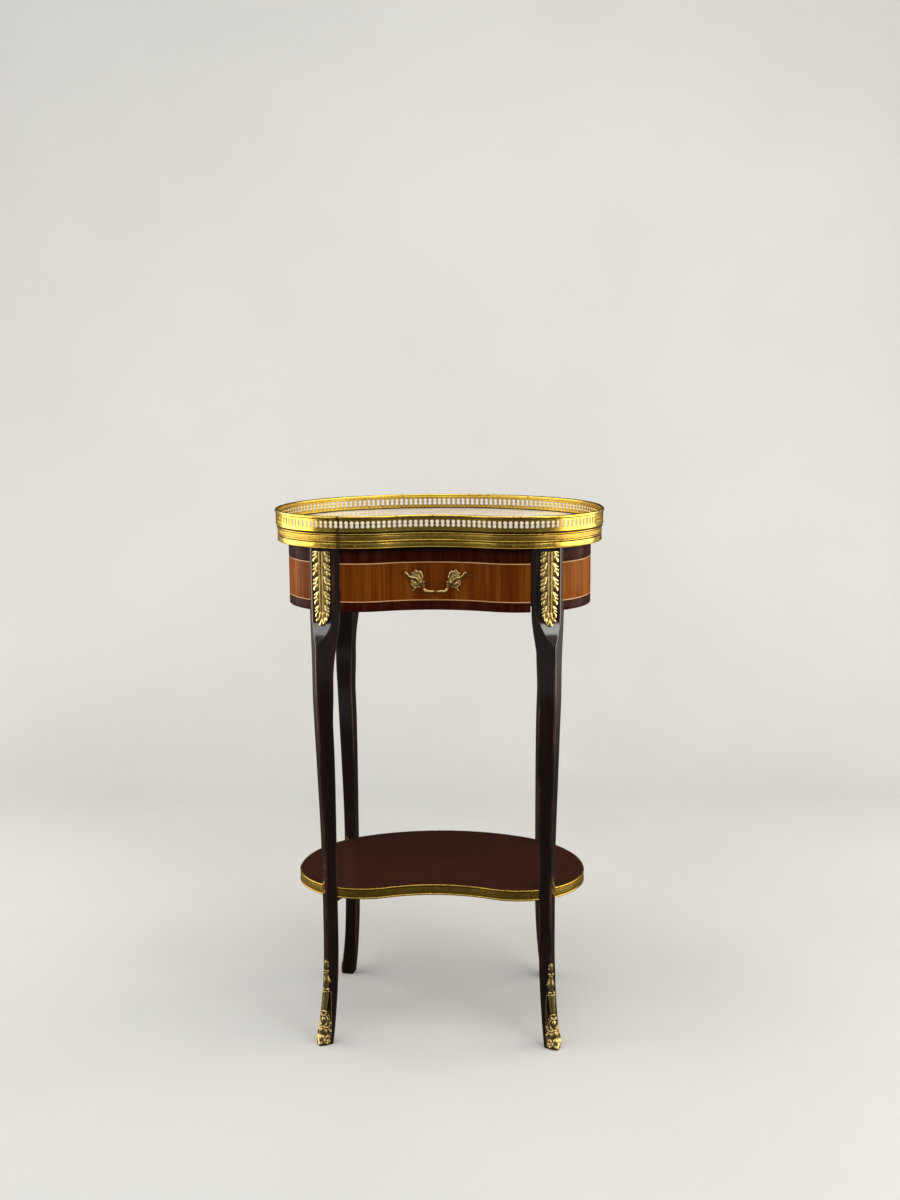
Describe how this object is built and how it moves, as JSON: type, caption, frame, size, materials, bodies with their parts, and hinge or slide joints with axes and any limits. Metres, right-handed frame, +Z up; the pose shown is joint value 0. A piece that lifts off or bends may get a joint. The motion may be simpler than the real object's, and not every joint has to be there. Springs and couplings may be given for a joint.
{
  "type": "gueridon",
  "caption": "Small kidney-shaped table with a marble top in a pierced gallery, one drawer with a bail handle, cabriole legs with gilt mounts and a lower shelf.",
  "frame": {"origin": "on the floor under the middle of the top", "axes": "+Z up, the drawer opens towards -Y, +X to the right seen from the front"},
  "size_m": [0.436, 0.2919, 0.712],
  "materials": {
    "dark_wood": "dark polished mahogany",
    "mahogany": "dark red polished mahogany",
    "figured_veneer": "golden brown straight-grained veneer, polished",
    "light_stringing": "light polished inlay line",
    "oak": "plain unfinished oak",
    "marble": "polished white marble with faint grey and rose veins",
    "lacquered_brass": "aged lacquered brass",
    "gilt": "gilt bronze, burnished high points",
    "bolt_steel": "plain steel"
  },
  "bodies": {
    "table": {"leg_front_left": "dark_wood", "leg_front_right": "dark_wood", "leg_back_left": "dark_wood", "leg_back_right": "dark_wood", "apron_end_left": "oak", "apron_end_right": "oak", "apron_back": "oak", "field_veneer_left": "figured_veneer", "field_veneer_right": "figured_veneer", "field_veneer_back": "figured_veneer", "crossbands_left": "mahogany", "crossbands_right": "mahogany", "crossbands_back": "mahogany", "stringing_left": "light_stringing", "stringing_right": "light_stringing", "stringing_back": "light_stringing", "top_panel": "oak", "marble_top": "marble", "edge_moulding": "lacquered_brass", "moulding_pins": "lacquered_brass", "gallery_strip": "lacquered_brass", "gallery_rim": "lacquered_brass", "corner_blocks": "oak", "drawer_runner_left": "oak", "drawer_runner_right": "oak", "side_guide_left": "oak", "side_guide_right": "oak", "kicker_left": "oak", "kicker_right": "oak", "drawer_stops": "oak", "shelf_board": "mahogany", "shelf_band_front": "lacquered_brass", "shelf_band_left": "lacquered_brass", "shelf_band_right": "lacquered_brass", "shelf_band_back": "lacquered_brass", "shelf_band_pins": "lacquered_brass", "shelf_blocks": "dark_wood", "shelf_dowels": "oak", "chute_front_left": "gilt", "chute_front_right": "gilt", "chute_back_left": "gilt", "chute_back_right": "gilt", "sabot_front_left": "gilt", "sabot_front_right": "gilt", "sabot_back_left": "gilt", "sabot_back_right": "gilt"},
    "drawer": {"drawer_front": "oak", "drawer_field_veneer": "figured_veneer", "drawer_crossbands": "mahogany", "drawer_stringing": "light_stringing", "drawer_side_left": "oak", "drawer_side_right": "oak", "drawer_back": "oak", "drawer_bottom": "oak", "handle_mount_left": "gilt", "handle_mount_right": "gilt", "handle_bolts": "bolt_steel", "handle_nuts": "bolt_steel"},
    "bail": {"bail": "gilt"}
  },
  "joints": [
    {"name": "drawer_slide", "type": "slide", "parent": "table", "child": "drawer", "axis": [0, -1, 0], "range_m": [0, 0.14]},
    {"name": "bail_hinge", "type": "hinge", "parent": "drawer", "child": "bail", "pos_m": [0, -0.1159, 0.624], "axis": [-1, 0, 0], "range_deg": [0, 85]}
  ]
}
